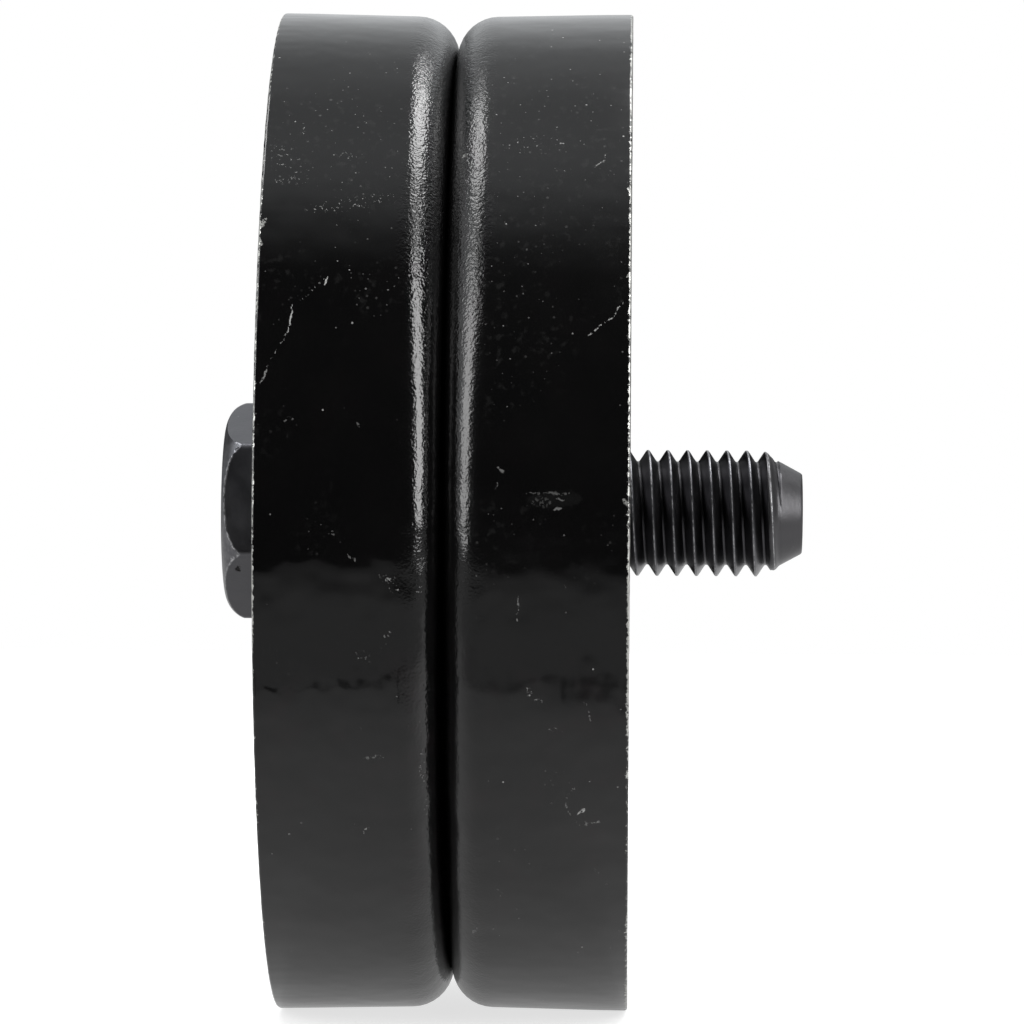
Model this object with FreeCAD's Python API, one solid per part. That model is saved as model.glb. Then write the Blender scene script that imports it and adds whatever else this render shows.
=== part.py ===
import FreeCAD, Part
import math
import os

# A smooth idler pulley that guides the flat back of a poly-v belt.
# Two equal pressed-steel cups stand back to back, riveted through their webs, and hold a sealed ball bearing.
# Two flanged bushes fill the bearing's bore, and a flange bolt clamps them to a bracket.
# The pulley turns about Y: the bolt's head is at the front (-Y) and its thread at the rear (+Y).
# The origin is on the axis, in the plane where the two cups meet. Sizes are in millimetres.

# Rim halves
RIM_EDGE_DIAMETER = 63.0  # outside, at the open edge
RIM_WIDTH = 22.0  # across both halves
RIM_FLARE = 1.2  # degrees by which the wall opens towards its edge
RIM_SHEET = 1.8
SHOULDER_RADIUS = 2.55  # outside of the corner between wall and web
COLLAR_BEND = 1.0  # inside radius of the bend from web to bearing collar
LIP_BEND = 0.6  # inside radius of the bend from collar to lip
LIP_REACH = 2.0  # how far the lip covers the bearing's face
RIM_EDGE_ROUND = 0.15  # of the sheared edge
COLLAR_CLEARANCE = 0.01  # a press fit, all but line to line

# Rivets through the two webs
RIVET_COUNT = 6
RIVET_DIAMETER = 4.0
RIVET_HEAD_DIAMETER = 6.6
RIVET_HEAD_HEIGHT = 1.5
RIVET_HEAD_ROUND = 1.3

# Deep groove ball bearing
BEARING_BORE = 15.0
BEARING_OUTSIDE = 35.0
BEARING_WIDTH = 11.0
RING_CORNER = 0.8
BALL_COUNT = 8
BALL_DIAMETER = 5.95
RACE_RADIUS = 3.1
RACE_DEPTH = 1.2
RACE_CLEARANCE = 0.02

# Bearing seals, snapped into the outer ring
SEAL_THICKNESS = 1.2
SEAL_WEB = 0.6  # the seal's thin middle
SEAL_RECESS = 0.2  # how far the seal stands back from the ring's face
SEAL_SEAT_DEPTH = 1.1
SEAL_SNAP = 0.35
SEAL_BEAD = 1.3  # width of the thick band at the outer edge
SEAL_LIP = 0.7  # width of the thick band at the inner edge
SEAL_LIP_CLEARANCE = 0.06

# Ribbon cage between the bearing's rings
CAGE_SHEET = 0.6
CAGE_BAND = 2.5  # radial width of the ribbon
POCKET_CLEARANCE = 0.12
CAGE_RIVET_DIAMETER = 0.9
CAGE_RIVET_HEAD_DIAMETER = 1.5
CAGE_RIVET_HEAD_HEIGHT = 0.4

# Bushes in the bearing's bore
BUSH_BORE = 8.5
BUSH_FLANGE_DIAMETER = 20.4
FRONT_BUSH_FLANGE = 1.7
REAR_BUSH_FLANGE = 3.5
BUSH_CHAMFER = 0.4
BUSH_CLEARANCE = 0.01  # around the spigot, a press fit
BUSH_GAP = 0.2  # between the spigots' ends, so that the flanges clamp the inner ring

# Pressed dust shield between the front bush and the inner ring
SHIELD_SHEET = 0.8
SHIELD_BEND = 0.4  # inside radius
SHIELD_RUNNING_GAP = 0.8  # to the turning cup
SHIELD_STEP_CLEARANCE = 0.1  # from the front bush's flange to the start of the bend
SHIELD_BORE_CLEARANCE = 0.05
SHIELD_SKIRT = 1.2  # how far the turned edge reaches back

# Flange bolt, M8 x 1.25 x 30, whose thread is a plain cylinder here
THREAD_DIAMETER = 8.0
SHANK_DIAMETER = 7.2  # rolled thread, so the shank has the pitch diameter
BOLT_LENGTH = 30.0  # under the head
THREAD_START_TAPER = 0.4  # ends at the rear bush's face
POINT_DIAMETER = 5.1
POINT_LENGTH = 2.7
HEX_ACROSS_FLATS = 12.0
HEX_TURN = 53.7  # degrees from +Z towards +X, to a corner of the hexagon
HEAD_HEIGHT = 6.85
HEAD_EDGE_RADIUS = 1.83  # rounding of the forged head's top edge
HEAD_CORNER_MARGIN = 0.06  # the rounded blank outside the hexagon's corners
HEAD_CROWN_RADIUS = 70.0
BOLT_FLANGE_DIAMETER = 17.5
BOLT_FLANGE_EDGE = 1.0
BOLT_FLANGE_HEIGHT = 2.0
BOLT_FLANGE_ROUND = 0.35

# Places that follow from the sizes above
ORIGIN = FreeCAD.Vector(0, 0, 0)
X_AXIS = FreeCAD.Vector(1, 0, 0)
Y_AXIS = FreeCAD.Vector(0, 1, 0)

rim_face = RIM_WIDTH / 2
bearing_face = BEARING_WIDTH / 2
collar_inside = BEARING_OUTSIDE / 2 + COLLAR_CLEARANCE
collar_outside = collar_inside + RIM_SHEET
lip_face = bearing_face + RIM_SHEET
flare_slope = math.tan(math.radians(RIM_FLARE))
wall_across = RIM_SHEET / math.cos(math.radians(RIM_FLARE))  # the flared wall, measured along a radius
web_outer_edge = RIM_EDGE_DIAMETER / 2 - rim_face * flare_slope - SHOULDER_RADIUS
web_inner_edge = collar_outside + COLLAR_BEND
rivet_circle = (web_outer_edge + web_inner_edge) / 2

ball_radius = BALL_DIAMETER / 2
pitch_radius = (BEARING_BORE + BEARING_OUTSIDE) / 4
inner_race_floor = pitch_radius - ball_radius - RACE_CLEARANCE
outer_race_floor = pitch_radius + ball_radius + RACE_CLEARANCE
inner_land = inner_race_floor + RACE_DEPTH
outer_land = outer_race_floor - RACE_DEPTH
seal_seat = outer_land + SEAL_SEAT_DEPTH
seal_mouth = seal_seat - SEAL_SNAP
seal_outside = bearing_face - SEAL_RECESS
seal_inside = seal_outside - SEAL_THICKNESS

shield_seat = bearing_face + SHIELD_SHEET
bolt_seat = shield_seat + FRONT_BUSH_FLANGE
bracket_seat = bearing_face + REAR_BUSH_FLANGE
bolt_tip = BOLT_LENGTH - bolt_seat


def rounded_face(corners):
    """Flat face from corners (radius, y) or (radius, y, rounding), drawn in the XY plane."""
    points = [FreeCAD.Vector(corner[0], corner[1], 0) for corner in corners]
    roundings = [corner[2] if len(corner) == 3 else 0 for corner in corners]
    runs = []
    for i, point in enumerate(points):
        back = (points[i - 1] - point).normalize()
        ahead = (points[(i + 1) % len(points)] - point).normalize()
        half_angle = back.getAngle(ahead) / 2
        reach = roundings[i] / math.tan(half_angle)
        towards_centre = (back + ahead).normalize()
        middle = point + towards_centre * (roundings[i] / math.sin(half_angle) - roundings[i])
        runs.append((point + back * reach, middle, point + ahead * reach))
    edges = []
    for i, (start, middle, end) in enumerate(runs):
        if roundings[i] > 0:
            edges.append(Part.Arc(start, middle, end).toShape())
        edges.append(Part.LineSegment(end, runs[(i + 1) % len(runs)][0]).toShape())
    return Part.Face(Part.Wire(edges))


def turned(corners):
    """Solid of revolution about Y."""
    return rounded_face(corners).revolve(ORIGIN, Y_AXIS, 360)


def around(shape, radius, count, first=0.0):
    """Copies of a shape, evenly spaced on a circle about Y; angles run from +Z towards +X."""
    copies = []
    for i in range(count):
        copy = shape.copy()
        copy.translate(FreeCAD.Vector(0, 0, radius))
        copy.rotate(ORIGIN, Y_AXIS, first + i * 360 / count)
        copies.append(copy)
    return copies


def to_front(shape):
    """The same piece turned over to the other side of the pulley."""
    copy = shape.copy()
    copy.rotate(ORIGIN, X_AXIS, 180)
    return copy


def along_y(radius, start, end):
    """Plain cylinder on the axis, from one y to another."""
    return Part.makeCylinder(radius, end - start, FreeCAD.Vector(0, start, 0), Y_AXIS)


def rim_half():
    """Cup of bent sheet: flared wall, web, collar round the bearing, and the lip that holds it in."""
    wall_outside = RIM_EDGE_DIAMETER / 2
    wall_inside = wall_outside - wall_across
    lip_radius = collar_inside - LIP_REACH
    section = [
        (lip_radius, bearing_face),
        (collar_inside, bearing_face, LIP_BEND),
        (collar_inside, 0, COLLAR_BEND + RIM_SHEET),
        (wall_outside - rim_face * flare_slope, 0, SHOULDER_RADIUS),
        (wall_outside, rim_face, RIM_EDGE_ROUND),
        (wall_inside, rim_face, RIM_EDGE_ROUND),
        (wall_inside - (rim_face - RIM_SHEET) * flare_slope, RIM_SHEET, SHOULDER_RADIUS - RIM_SHEET),
        (collar_outside, RIM_SHEET, COLLAR_BEND),
        (collar_outside, lip_face, LIP_BEND + RIM_SHEET),
        (lip_radius, lip_face),
    ]
    hole = along_y(RIVET_DIAMETER / 2, -RIM_SHEET, 2 * RIM_SHEET)
    return turned(section).cut(around(hole, rivet_circle, RIVET_COUNT))


def web_rivet():
    """Round-headed rivet through both webs."""
    head_top = RIM_SHEET + RIVET_HEAD_HEIGHT
    head_radius = RIVET_HEAD_DIAMETER / 2
    shank_radius = RIVET_DIAMETER / 2
    return turned([
        (0, -head_top),
        (head_radius, -head_top, RIVET_HEAD_ROUND),
        (head_radius, -RIM_SHEET),
        (shank_radius, -RIM_SHEET),
        (shank_radius, RIM_SHEET),
        (head_radius, RIM_SHEET),
        (head_radius, head_top, RIVET_HEAD_ROUND),
        (0, head_top),
    ])


def bearing_outer_ring():
    """Ring with a ball race and, at each side, an undercut seat for a seal."""
    outside = BEARING_OUTSIDE / 2
    ring = turned([
        (outside, -bearing_face, RING_CORNER),
        (outside, bearing_face, RING_CORNER),
        (seal_mouth, bearing_face),
        (seal_mouth, seal_outside),
        (seal_seat, seal_outside - SEAL_SNAP),
        (seal_seat, seal_inside),
        (outer_land, seal_inside),
        (outer_land, -seal_inside),
        (seal_seat, -seal_inside),
        (seal_seat, SEAL_SNAP - seal_outside),
        (seal_mouth, -seal_outside),
        (seal_mouth, -bearing_face),
    ])
    return ring.cut(race(outer_race_floor - RACE_RADIUS))


def bearing_inner_ring():
    """Ring with a ball race; the seals' lips run on its lands."""
    bore = BEARING_BORE / 2
    ring = turned([
        (bore, -bearing_face, RING_CORNER),
        (inner_land, -bearing_face),
        (inner_land, bearing_face),
        (bore, bearing_face, RING_CORNER),
    ])
    return ring.cut(race(inner_race_floor + RACE_RADIUS))


def race(centre_radius):
    """The torus that a ball race is cut with."""
    return Part.makeTorus(centre_radius, RACE_RADIUS, ORIGIN, Y_AXIS)


def bearing_seal():
    """Rubber seal: snap-in edge, thin web and a lip just clear of the inner ring."""
    lip_radius = inner_land + SEAL_LIP_CLEARANCE
    web_face = seal_inside + SEAL_WEB
    return turned([
        (lip_radius, seal_inside),
        (seal_seat, seal_inside),
        (seal_seat, seal_outside - SEAL_SNAP),
        (seal_mouth, seal_outside),
        (seal_seat - SEAL_BEAD, seal_outside, SEAL_SNAP),
        (seal_seat - SEAL_BEAD, web_face),
        (lip_radius + SEAL_LIP, web_face),
        (lip_radius + SEAL_LIP, seal_outside, SEAL_SNAP),
        (lip_radius, seal_outside - SEAL_SNAP),
    ])


def cage_half():
    """Pressed ribbon with a round pocket over each ball and a flat land between pockets."""
    inside = pitch_radius - CAGE_BAND / 2
    outside = pitch_radius + CAGE_BAND / 2
    pocket_inside = ball_radius + POCKET_CLEARANCE
    pocket_outside = pocket_inside + CAGE_SHEET
    lands = along_y(outside, 0, CAGE_SHEET).cut(along_y(inside, 0, CAGE_SHEET))
    band = along_y(outside, 0, 2 * pocket_outside).cut(along_y(inside, 0, 2 * pocket_outside))
    domes = around(Part.makeSphere(pocket_outside), pitch_radius, BALL_COUNT)
    hollows = around(Part.makeSphere(pocket_inside), pitch_radius, BALL_COUNT)
    rivet_hole = along_y(CAGE_RIVET_DIAMETER / 2, 0, CAGE_SHEET)
    holes = around(rivet_hole, pitch_radius, BALL_COUNT, 180 / BALL_COUNT)
    pockets = [band.common(dome) for dome in domes]
    return lands.fuse(pockets).cut(hollows + holes).removeSplitter()


def cage_rivet():
    """Small rivet that joins the two halves of the cage between two balls."""
    head_top = CAGE_SHEET + CAGE_RIVET_HEAD_HEIGHT
    head_radius = CAGE_RIVET_HEAD_DIAMETER / 2
    shank_radius = CAGE_RIVET_DIAMETER / 2
    return turned([
        (0, -head_top),
        (head_radius, -head_top, CAGE_RIVET_HEAD_HEIGHT / 2),
        (head_radius, -CAGE_SHEET),
        (shank_radius, -CAGE_SHEET),
        (shank_radius, CAGE_SHEET),
        (head_radius, CAGE_SHEET),
        (head_radius, head_top, CAGE_RIVET_HEAD_HEIGHT / 2),
        (0, head_top),
    ])


def bush(flange_start, flange_thickness):
    """Flanged bush whose spigot fills half of the bearing's bore, drawn for the rear."""
    bore = BUSH_BORE / 2
    spigot = BEARING_BORE / 2 - BUSH_CLEARANCE
    flange = BUSH_FLANGE_DIAMETER / 2
    flange_end = flange_start + flange_thickness
    return turned([
        (bore, BUSH_GAP / 2),
        (spigot - BUSH_CHAMFER, BUSH_GAP / 2),
        (spigot, BUSH_GAP / 2 + BUSH_CHAMFER),
        (spigot, flange_start),
        (flange, flange_start),
        (flange, flange_end - BUSH_CHAMFER),
        (flange - BUSH_CHAMFER, flange_end),
        (bore + BUSH_CHAMFER, flange_end),
        (bore, flange_end - BUSH_CHAMFER),
    ])


def dust_shield():
    """Dished cover, clamped at its middle, whose turned edge shrouds the front cup's collar. Drawn for the rear."""
    bore = BEARING_BORE / 2 + SHIELD_BORE_CLEARANCE
    step_inside = BUSH_FLANGE_DIAMETER / 2 + SHIELD_STEP_CLEARANCE + SHIELD_BEND
    step_outside = step_inside + SHIELD_SHEET
    skirt_inside = collar_outside + SHIELD_RUNNING_GAP
    skirt_outside = skirt_inside + SHIELD_SHEET
    disc_back = lip_face + SHIELD_RUNNING_GAP
    disc_front = disc_back + SHIELD_SHEET
    outer_bend = SHIELD_BEND + SHIELD_SHEET
    return turned([
        (bore, bearing_face),
        (step_outside, bearing_face, outer_bend),
        (step_outside, disc_back, SHIELD_BEND),
        (skirt_inside, disc_back, SHIELD_BEND),
        (skirt_inside, disc_back - SHIELD_SKIRT),
        (skirt_outside, disc_back - SHIELD_SKIRT),
        (skirt_outside, disc_front, outer_bend),
        (step_inside, disc_front, outer_bend),
        (step_inside, shield_seat, SHIELD_BEND),
        (bore, shield_seat),
    ])


def bolt_head():
    """Forged hexagon with a rounded top edge and a slightly crowned face."""
    corner_radius = HEX_ACROSS_FLATS / 2 / math.cos(math.radians(30))
    blank_radius = corner_radius + HEAD_CORNER_MARGIN
    top = -bolt_seat - HEAD_HEIGHT
    hexagon = []
    for i in range(7):
        angle = math.radians(HEX_TURN + 60 * i)
        hexagon.append(FreeCAD.Vector(corner_radius * math.sin(angle), top, corner_radius * math.cos(angle)))
    prism = Part.Face(Part.makePolygon(hexagon)).extrude(Y_AXIS * HEAD_HEIGHT)
    crown = Part.makeSphere(HEAD_CROWN_RADIUS, FreeCAD.Vector(0, top + HEAD_CROWN_RADIUS, 0))
    blank = along_y(blank_radius, top, -bolt_seat).common(crown)
    circles = [edge for edge in blank.Edges if isinstance(edge.Curve, Part.Circle)]
    top_edge = min(circles, key=lambda edge: edge.Curve.Center.y)
    return prism.common(blank.makeFillet(HEAD_EDGE_RADIUS, [top_edge]))


def mounting_bolt():
    """Flange bolt: crowned hexagon, conical flange, shank, thread and a conical point."""
    flange_radius = BOLT_FLANGE_DIAMETER / 2
    shank_radius = SHANK_DIAMETER / 2
    thread_radius = THREAD_DIAMETER / 2
    flange = turned([
        (0, -bolt_seat),
        (0, -bolt_seat - BOLT_FLANGE_HEIGHT),
        (HEX_ACROSS_FLATS / 2, -bolt_seat - BOLT_FLANGE_HEIGHT),
        (flange_radius, -bolt_seat - BOLT_FLANGE_EDGE, BOLT_FLANGE_ROUND),
        (flange_radius, -bolt_seat),
    ])
    stem = turned([
        (0, -bolt_seat),
        (shank_radius, -bolt_seat),
        (shank_radius, bracket_seat - THREAD_START_TAPER),
        (thread_radius, bracket_seat),
        (thread_radius, bolt_tip - POINT_LENGTH),
        (POINT_DIAMETER / 2, bolt_tip),
        (0, bolt_tip),
    ])
    return bolt_head().fuse([flange, stem]).removeSplitter()


def all_pieces():
    """Every sub-part by its node's name."""
    rear_half = rim_half()
    rear_seal = bearing_seal()
    rear_cage = cage_half()
    pieces = {
        "front_rim_half": to_front(rear_half),
        "rear_rim_half": rear_half,
        "web_rivets": Part.makeCompound(around(web_rivet(), rivet_circle, RIVET_COUNT)),
        "bearing_outer_ring": bearing_outer_ring(),
        "bearing_inner_ring": bearing_inner_ring(),
        "cage_front_half": to_front(rear_cage),
        "cage_rear_half": rear_cage,
        "cage_rivets": Part.makeCompound(around(cage_rivet(), pitch_radius, BALL_COUNT, 180 / BALL_COUNT)),
        "front_seal": to_front(rear_seal),
        "rear_seal": rear_seal,
        "front_bush": to_front(bush(shield_seat, FRONT_BUSH_FLANGE)),
        "rear_bush": bush(bearing_face, REAR_BUSH_FLANGE),
        "dust_shield": to_front(dust_shield()),
        "mounting_bolt": mounting_bolt(),
    }
    for i, ball in enumerate(around(Part.makeSphere(ball_radius), pitch_radius, BALL_COUNT)):
        pieces[f"ball_{i + 1}"] = ball
    return pieces


os.makedirs("parts", exist_ok=True)
for name, shape in all_pieces().items():
    shape.exportStep(f"parts/{name}.step")
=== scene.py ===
import math

import bmesh
import bpy
from mathutils import Matrix, Vector


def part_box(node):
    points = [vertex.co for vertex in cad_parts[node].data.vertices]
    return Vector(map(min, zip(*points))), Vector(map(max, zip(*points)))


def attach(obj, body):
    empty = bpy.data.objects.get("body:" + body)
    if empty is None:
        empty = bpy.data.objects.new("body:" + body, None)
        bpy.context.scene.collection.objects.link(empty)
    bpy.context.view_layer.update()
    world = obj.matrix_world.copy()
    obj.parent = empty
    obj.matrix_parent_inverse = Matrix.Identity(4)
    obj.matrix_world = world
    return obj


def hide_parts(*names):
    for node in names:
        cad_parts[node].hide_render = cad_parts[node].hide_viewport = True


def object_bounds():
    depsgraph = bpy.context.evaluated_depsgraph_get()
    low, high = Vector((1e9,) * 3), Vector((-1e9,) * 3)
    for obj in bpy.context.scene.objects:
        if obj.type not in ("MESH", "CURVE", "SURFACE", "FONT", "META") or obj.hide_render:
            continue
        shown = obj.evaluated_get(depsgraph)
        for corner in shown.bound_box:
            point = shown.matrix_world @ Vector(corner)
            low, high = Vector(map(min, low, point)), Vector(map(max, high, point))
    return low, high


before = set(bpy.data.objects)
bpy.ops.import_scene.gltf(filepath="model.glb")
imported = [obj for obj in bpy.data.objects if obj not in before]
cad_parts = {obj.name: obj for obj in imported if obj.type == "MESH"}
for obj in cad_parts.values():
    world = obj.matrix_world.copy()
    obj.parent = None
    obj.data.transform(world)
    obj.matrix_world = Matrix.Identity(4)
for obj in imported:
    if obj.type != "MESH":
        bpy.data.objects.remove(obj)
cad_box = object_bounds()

# Dressing of a smooth idler pulley: two black-painted pressed cups, riveted round a ball bearing,
# on a flange bolt. The pulley turns about Y, with the bolt's head at -Y and its thread at +Y.
# Lengths are in metres.
MM = 0.001
FULL_TURN = 2 * math.pi
WELD_GAP = 0.0005 * MM
SMOOTH_BELOW = math.radians(34)

# Where the CAD solids stand
RIM_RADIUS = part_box("rear_rim_half")[1].x
RIM_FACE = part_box("rear_rim_half")[1].y
BEARING_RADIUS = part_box("bearing_outer_ring")[1].x
BEARING_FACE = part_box("bearing_outer_ring")[1].y
BRACKET_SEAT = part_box("rear_bush")[1].y
BOLT_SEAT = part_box("front_bush")[0].y
BOLT_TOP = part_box("mounting_bolt")[0].y
BOLT_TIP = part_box("mounting_bolt")[1].y - 0.15 * MM
RIVET_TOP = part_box("web_rivets")[1].y
RIVET_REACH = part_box("web_rivets")[1].z

# Pressed cups
SHEET = 1.8 * MM
SHOULDER_RADIUS = 2.55 * MM
COLLAR_BEND = 1.0 * MM
LIP_BEND = 0.6 * MM
LIP_REACH = 2.0 * MM
EDGE_ROUND = 0.15 * MM
WALL_FLARE = math.radians(1.2)
EDGE_BURR = 0.06 * MM
BURR_SIZE = 0.6 * MM
BURR_WIDTH = 0.5 * MM
RIM_SEGMENTS = 720
RIM_ARC_STEPS = 9
SUPPORT_GAP = 0.06 * MM
SIDE_STEP = 1.5 * MM

# Rivets through the webs
RIVET_COUNT = 6
RIVET_SHANK = 2.0 * MM
RIVET_HEAD = 3.3 * MM
RIVET_CIRCLE = RIVET_REACH - RIVET_HEAD
RIVET_ROUND = 1.3 * MM
RIVET_SEGMENTS = 64
RIVET_ARC_STEPS = 10

# Bolt
BOLT_COLUMNS = 240
HEX_FLAT = 6.0 * MM
HEX_CORNER_ROUND = 0.35 * MM
HEX_TURN = math.radians(53.7)
HEAD_EDGE = 1.83 * MM
HEAD_BLANK = 6.98 * MM
HEAD_CROWN = 70 * MM
# Hexagon edges are lightened by rubbed oxide and a painted highlight line, most on the middle flats
WORN_AND_HIGHLIT_HEIGHT = 3.4 * MM
UPPER_EDGE_WEAR_AND_HIGHLIGHT = 0.45
MIDDLE_EDGE_WEAR_AND_HIGHLIGHT = 1
LOWER_EDGE_WEAR_AND_HIGHLIGHT = 0.7
CROWN_WEAR = 0.5
FLANGE_WEAR = 0.7
CROWN_ROWS = 8
EDGE_ROWS = 17
EDGE_ROW_ANGLE = math.radians(5)
FLANK_ROWS = (0, 0.05, 0.2, 0.4, 0.6, 0.8, 1)
CONE_ROWS = 5
FLANGE_RADIUS = 8.75 * MM
FLANGE_HEIGHT = 2.0 * MM
FLANGE_EDGE = 1.0 * MM
FLANGE_ROUND = 0.35 * MM
SEAT_ROUND = 0.12 * MM
SHANK_ROUND = 0.2 * MM
SHANK_RADIUS = 3.6 * MM
THREAD_PITCH = 1.25 * MM
THREAD_CREST = 3.995 * MM
THREAD_ROOT = 3.27 * MM
CREST_WIDTH = 0.12 * MM
ROOT_WIDTH = 0.16 * MM
FLANK_EASING = 0.35
CREST_AT_TOP = 12.08 * MM
POINT_RADIUS = 2.53 * MM
POINT_LENGTH = 2.7 * MM
TIP_CHAMFER = 0.04 * MM
LAST_CREST = 0.13 * MM
LAST_FOOT = 0.42 * MM
LAST_FOOT_WIDTH = 0.1 * MM
LAST_FOOT_DEPTH = 0.3
ROWS_PER_TURN = 20

# Camera and floor
CAMERA_DISTANCE = 357 * MM
CAMERA_ROLL = math.radians(0.36)
PICTURE_SIZE = 1024
FOCAL_PIXELS = 5624
AIM_LEFT_PIXELS = 118.6
SENSOR = 36.0
CLIP_START = 0.01
CLIP_END = 20
FLOOR_GAP = 0.05 * MM
FLOOR_BACK = -0.9
FLOOR_FRONT = 0.15
FLOOR_SIDE = 0.8
# Painted reflection: a dark winding band on the floor, seen only by the gloss
PAINTED_BAND = 57 * MM
PAINTED_BAND_WIDTH = 6 * MM
PAINTED_BAND_STRAY = 20 * MM
PAINTED_BAND_REPEAT = 6.6 * MM
PAINTED_BAND_PHASE = FULL_TURN * 0.88
FLOOR_DARK = (0.32, 0.32, 0.32)
FLOOR_LIGHT = (0.35, 0.35, 0.35)
PAINTED_BAND_BLACK = (0.01, 0.01, 0.01)

# Finishes
PAINT_DEEP = (0.0014, 0.0014, 0.0015)
PAINT_FADED = (0.003, 0.0029, 0.0029)
PAINT_BROWNISH = (0.0052, 0.0031, 0.0036)
PAINT_DUST = (0.5, 0.5, 0.49)
BARE_DARK = (0.28, 0.28, 0.27)
BARE_LIGHT = (0.6, 0.6, 0.57)
OXIDE_DARK = (0.118, 0.120, 0.133)
OXIDE_LIGHT = (0.186, 0.187, 0.199)
OXIDE_DARKER_BELOW = (0.055, 0.052, 0.052)
OXIDE_IN_GROOVE = (0.055, 0.054, 0.058)
OXIDE_ON_POINT = (0.056, 0.055, 0.058)
OXIDE_NICKED = (0.015, 0.014, 0.014)
OXIDE_RUBBED_AND_HIGHLIT = (0.44, 0.44, 0.45)
OXIDE_LINT = (0.4, 0.4, 0.4)
STEEL_SOOT = (0.05, 0.045, 0.04)
RUBBER_BLACK = (0.012, 0.012, 0.012)
RUBBER_BLOOM = (0.035, 0.034, 0.032)
RUBBER_LINT = (0.35, 0.34, 0.32)

# Depth of the paint's relief
PEBBLES = 0.018 * MM
COARSER_PEBBLES = 0.024 * MM
WAVES = 0.05 * MM
SAGGED_WAVES = 0.13 * MM
ORANGE_PEEL = 0.002 * MM
PAINT_THICKNESS = 0.012 * MM

# Brightness of the room
CEILING_LEVEL = 0.69
WALL_LEVEL = 1.1
LOW_LEVEL = 0.45
LEAST_LEVEL = 0.015
ROOM_TINT = (0.975, 1, 1.02)
WHITE = (1, 1, 1)

# Lamps: name, place, width, length, radiance, direction of the length
SOFTBOXES = [
    ("right_softbox", (0.326, 0.441, 0.252), 0.20, 0.63, 9.5, (0.10, -0.06, 1)),
    ("right_top_softbox", (-0.115, 0.182, 0.54), 0.21, 0.36, 8.6, (-1, -0.1, 0)),
    ("right_fill_softbox", (0.168, 0.216, 0.53), 0.13, 0.16, 2.4, (-1, -0.1, 0)),
    ("left_softbox", (0.330, -0.446, 0.230), 0.21, 0.56, 6.8, (0.10, 0.07, 1)),
    ("left_top_softbox", (-0.04, -0.216, 0.54), 0.20, 0.30, 6.8, (-1, 0.1, 0)),
    ("left_fill_softbox", (0.315, -0.235, 0.455), 0.15, 0.20, 2.4, (-1, 0.1, 0)),
]

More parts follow.
